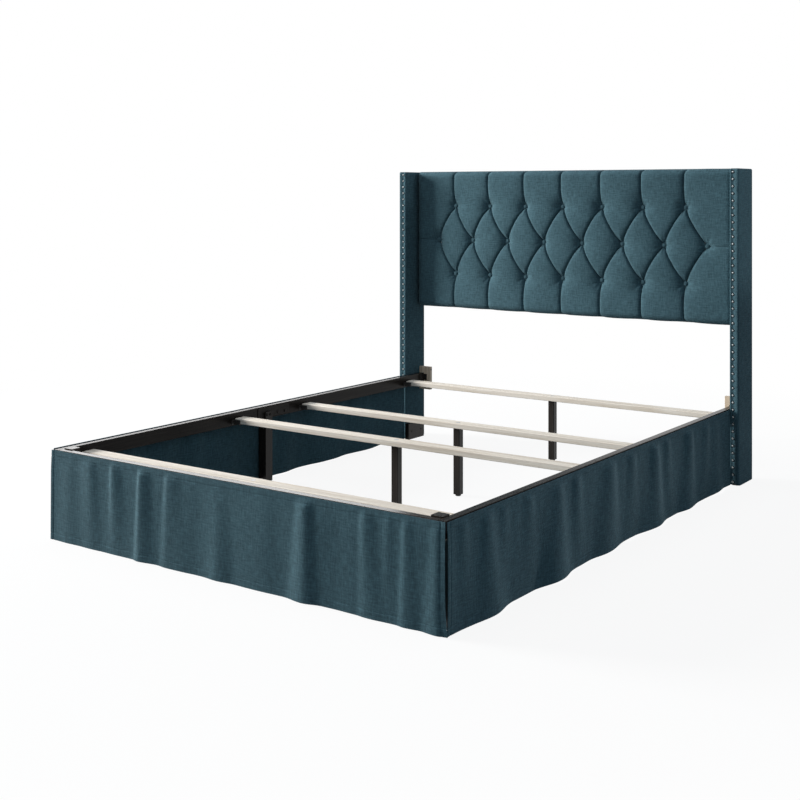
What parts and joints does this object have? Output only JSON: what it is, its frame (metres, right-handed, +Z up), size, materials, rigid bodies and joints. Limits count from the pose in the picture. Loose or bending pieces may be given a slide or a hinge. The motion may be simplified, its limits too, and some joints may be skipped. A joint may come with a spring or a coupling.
{
  "type": "wingback bed",
  "caption": "Wingback bed frame: button-tufted headboard between nail-trimmed wings, slats on dark rails and legs with screw glides, cloth skirts on three sides.",
  "frame": {"origin": "on the floor, at the middle of the bed's outline", "axes": "+Z up, +Y from the foot to the headboard, +X to the right of someone at the foot who looks at the headboard"},
  "size_m": [1.66, 2.248, 1.267],
  "materials": {
    "upholstery_cloth": "slate-blue linen-look weave",
    "pale_pine": "planed pale pine, unfinished",
    "frame_pine": "rough sawn pine",
    "plywood": "plywood sheet",
    "raw_cleat_wood": "bare sawn wood",
    "dark_stained_wood": "dark espresso stain, satin",
    "pewter_nailheads": "antique pewter domes",
    "black_plastic": "moulded black plastic",
    "glide_nylon": "black nylon foot on a steel stem",
    "black_steel": "black powder coat on the brackets and plates, black oxide on their bolts and screws",
    "zinc_steel": "zinc-plated steel",
    "hook_and_loop": "black hook-and-loop tape",
    "black_dust_cloth": "black non-woven cloth"
  },
  "bodies": {
    "bed": {"centre_leg_1": "dark_stained_wood", "centre_leg_2": "dark_stained_wood", "centre_leg_3": "dark_stained_wood", "centre_leg_4": "dark_stained_wood", "corner_post_left": "dark_stained_wood", "corner_post_right": "dark_stained_wood", "foot_block_left": "dark_stained_wood", "foot_block_right": "dark_stained_wood", "foot_rail": "dark_stained_wood", "foot_skirt": "upholstery_cloth", "headboard_board": "plywood", "headboard_bolts": "zinc_steel", "headboard_dust_cloth": "black_dust_cloth", "headboard_frame": "frame_pine", "headboard_tufted_pad": "upholstery_cloth", "leg_inserts": "zinc_steel", "mid_rail_leg_left": "dark_stained_wood", "mid_rail_leg_right": "dark_stained_wood", "nailheads_left": "pewter_nailheads", "nailheads_right": "pewter_nailheads", "rail_bolts": "black_steel", "rail_cleat_left": "raw_cleat_wood", "rail_cleat_right": "raw_cleat_wood", "rail_end_bracket_left": "black_steel", "rail_end_bracket_right": "black_steel", "rail_joint_plate_left": "black_steel", "rail_joint_plate_right": "black_steel", "side_rail_left_front": "dark_stained_wood", "side_rail_left_rear": "dark_stained_wood", "side_rail_right_front": "dark_stained_wood", "side_rail_right_rear": "dark_stained_wood", "side_skirt_left": "upholstery_cloth", "side_skirt_right": "upholstery_cloth", "skirt_strip_foot": "hook_and_loop", "skirt_strip_left": "hook_and_loop", "skirt_strip_right": "hook_and_loop", "slat_1": "pale_pine", "slat_2": "pale_pine", "slat_3": "pale_pine", "slat_4": "pale_pine", "slat_bolts": "zinc_steel", "slat_saddle_left_1": "black_plastic", "slat_saddle_left_2": "black_plastic", "slat_saddle_left_3": "black_plastic", "slat_saddle_left_4": "black_plastic", "slat_saddle_right_1": "black_plastic", "slat_saddle_right_2": "black_plastic", "slat_saddle_right_3": "black_plastic", "slat_saddle_right_4": "black_plastic", "tuft_buttons": "upholstery_cloth", "wing_core_left": "frame_pine", "wing_core_right": "frame_pine", "wing_cover_left": "upholstery_cloth", "wing_cover_right": "upholstery_cloth", "wood_screws": "black_steel"},
    "glide_1": {"leg_glide_1": "glide_nylon"},
    "glide_2": {"leg_glide_2": "glide_nylon"},
    "glide_3": {"leg_glide_3": "glide_nylon"},
    "glide_4": {"leg_glide_4": "glide_nylon"}
  },
  "joints": [
    {"name": "glide_1_screw", "type": "slide", "parent": "bed", "child": "glide_1", "axis": [0, 0, -1], "range_m": [0, 0.012]},
    {"name": "glide_2_screw", "type": "slide", "parent": "bed", "child": "glide_2", "axis": [0, 0, -1], "range_m": [0, 0.012]},
    {"name": "glide_3_screw", "type": "slide", "parent": "bed", "child": "glide_3", "axis": [0, 0, -1], "range_m": [0, 0.012]},
    {"name": "glide_4_screw", "type": "slide", "parent": "bed", "child": "glide_4", "axis": [0, 0, -1], "range_m": [0, 0.012]}
  ]
}
